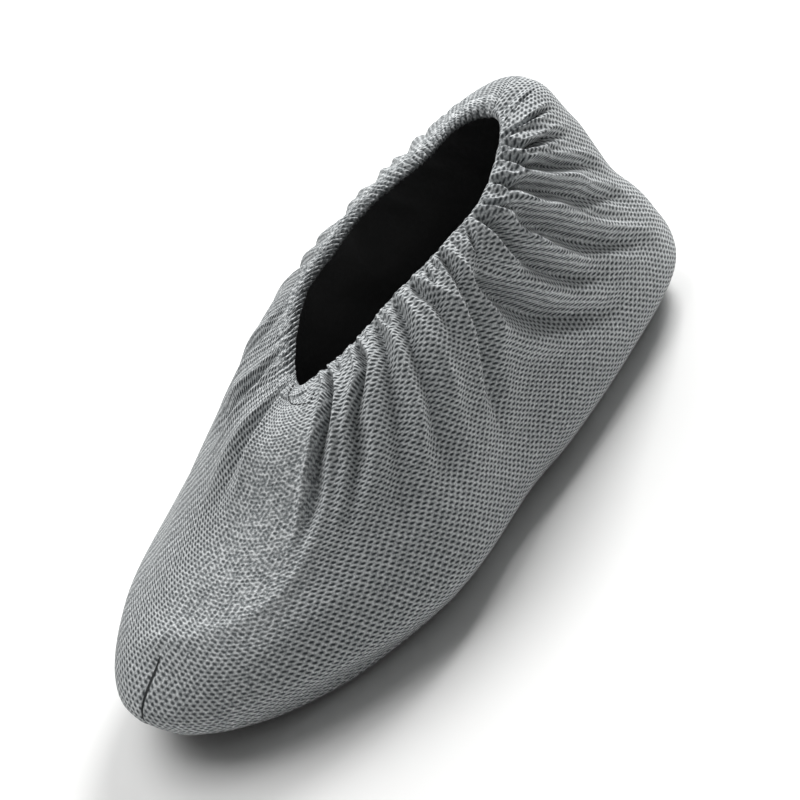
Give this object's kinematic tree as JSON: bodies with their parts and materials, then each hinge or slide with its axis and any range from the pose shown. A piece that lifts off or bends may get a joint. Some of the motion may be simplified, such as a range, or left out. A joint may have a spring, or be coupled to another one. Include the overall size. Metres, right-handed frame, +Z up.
{
  "type": "mesh shoe cover",
  "caption": "Slip-on shoe cover of grey mesh cloth: gathered elastic opening with a stitched front tab, closed toe and heel, flat black grip sole.",
  "frame": {"origin": "on the floor under the middle of the cover's box", "axes": "toe towards -X, heel towards +X, left side towards -Y, +Z up from the sole"},
  "size_m": [0.3, 0.116, 0.1134],
  "materials": {
    "grip_cloth": "black ribbed cloth with small glossy grip dots",
    "mesh_cloth": "matt grey mesh knit, dark lining inside",
    "casing_cloth": "matt grey mesh knit, ruched over elastic"
  },
  "bodies": {
    "root": {"sole": "grip_cloth", "upper": "mesh_cloth", "elastic_casing": "casing_cloth", "casing_tab": "casing_cloth"}
  },
  "joints": []
}
